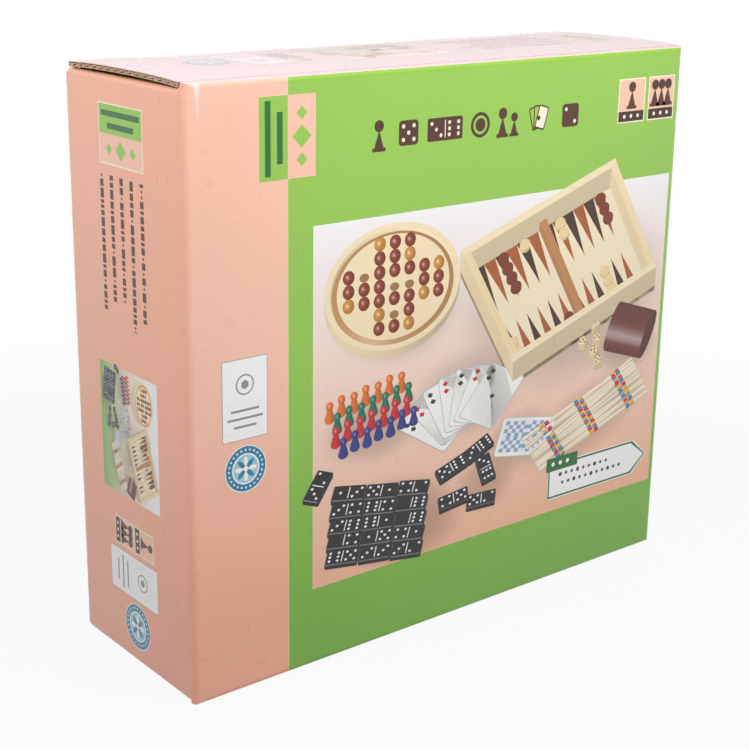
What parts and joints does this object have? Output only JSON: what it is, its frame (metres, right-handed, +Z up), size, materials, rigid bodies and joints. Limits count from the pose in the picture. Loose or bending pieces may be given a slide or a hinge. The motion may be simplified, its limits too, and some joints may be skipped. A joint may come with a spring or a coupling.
{
  "type": "games compendium box",
  "caption": "Closed printed corrugated carton with a tuck-in hinged lid, standing on its long side, holding a wooden sliding-lid games case with its games.",
  "frame": {"origin": "middle of the face that the carton stands on, on the surface", "axes": "+Z up towards the lid, -Y out of the printed front panel, +X to the right of the front panel seen from the front"},
  "size_m": [0.32, 0.108, 0.294],
  "materials": {
    "green_board": "green offset print on corrugated board, gloss varnish",
    "peach_board": "peach offset print on corrugated board, gloss varnish",
    "kraft_board": "bare brown kraft liner",
    "pine": "planed pine, clear matt lacquer",
    "plywood": "sanded plywood",
    "chessboard": "plywood with a stained chequer pattern, satin lacquer",
    "steel": "bright wire",
    "light_wood": "natural wood, clear lacquer",
    "dark_wood": "brown stained wood, gloss lacquer",
    "orange_paint": "orange painted wood",
    "green_paint": "green painted wood",
    "red_paint": "red painted wood",
    "blue_paint": "dark blue painted wood",
    "black_lacquer": "black lacquered wood with white pips",
    "stick_wood": "bare wood with painted bands",
    "leatherette": "brown grained leatherette",
    "card_stock": "coated card stock"
  },
  "bodies": {
    "carton": {"front_panel": "green_board", "back_panel": "green_board", "left_panel": "peach_board", "right_panel": "green_board", "glue_tab": "kraft_board", "bottom_panel": "green_board", "bottom_tuck_flap": "kraft_board", "bottom_dust_flap_left": "kraft_board", "bottom_dust_flap_right": "kraft_board", "case_base": "plywood", "case_side_left": "pine", "case_side_right": "pine", "case_end_lower": "pine", "case_end_upper": "pine", "chessboard_lid": "chessboard", "shelves": "plywood", "chess_partitions": "plywood", "games_partitions": "plywood", "cup_partition": "plywood", "base_brads": "steel", "king_light": "light_wood", "queen_light": "light_wood", "bishops_light": "light_wood", "knights_light": "light_wood", "rooks_light": "light_wood", "pawns_light": "light_wood", "king_dark": "dark_wood", "queen_dark": "dark_wood", "bishops_dark": "dark_wood", "knights_dark": "dark_wood", "rooks_dark": "dark_wood", "pawns_dark": "dark_wood", "morris_board": "light_wood", "morris_men_light": "light_wood", "morris_men_dark": "dark_wood", "pegs_orange": "orange_paint", "pegs_green": "green_paint", "pegs_red": "red_paint", "pegs_blue": "blue_paint", "dominoes": "black_lacquer", "mikado_sticks": "stick_wood", "dice_cup": "leatherette", "wooden_dice": "light_wood", "playing_cards": "card_stock"},
    "lid": {"lid_panel": "peach_board"},
    "tuck": {"tuck_flap": "peach_board"},
    "dust_left": {"dust_flap_left": "kraft_board"},
    "dust_right": {"dust_flap_right": "kraft_board"}
  },
  "joints": [
    {"name": "lid_hinge", "type": "hinge", "parent": "carton", "child": "lid", "pos_m": [0, -0.054, 0.294], "axis": [1, 0, 0], "range_deg": [0, 250]},
    {"name": "tuck_crease", "type": "hinge", "parent": "lid", "child": "tuck", "pos_m": [0, 0.0511, 0.294], "axis": [1, 0, 0], "range_deg": [0, 83]},
    {"name": "dust_left_crease", "type": "hinge", "parent": "carton", "child": "dust_left", "pos_m": [-0.16, 0, 0.2912], "axis": [0, -1, 0], "range_deg": [0, 83]},
    {"name": "dust_right_crease", "type": "hinge", "parent": "carton", "child": "dust_right", "pos_m": [0.16, 0, 0.2912], "axis": [0, 1, 0], "range_deg": [0, 83]}
  ],
  "couplings": [
    {"joint": "tuck_crease", "follows": "lid_hinge", "ratio": 0.33},
    {"joint": "dust_left_crease", "follows": "lid_hinge", "ratio": 0.33},
    {"joint": "dust_right_crease", "follows": "lid_hinge", "ratio": 0.33}
  ]
}
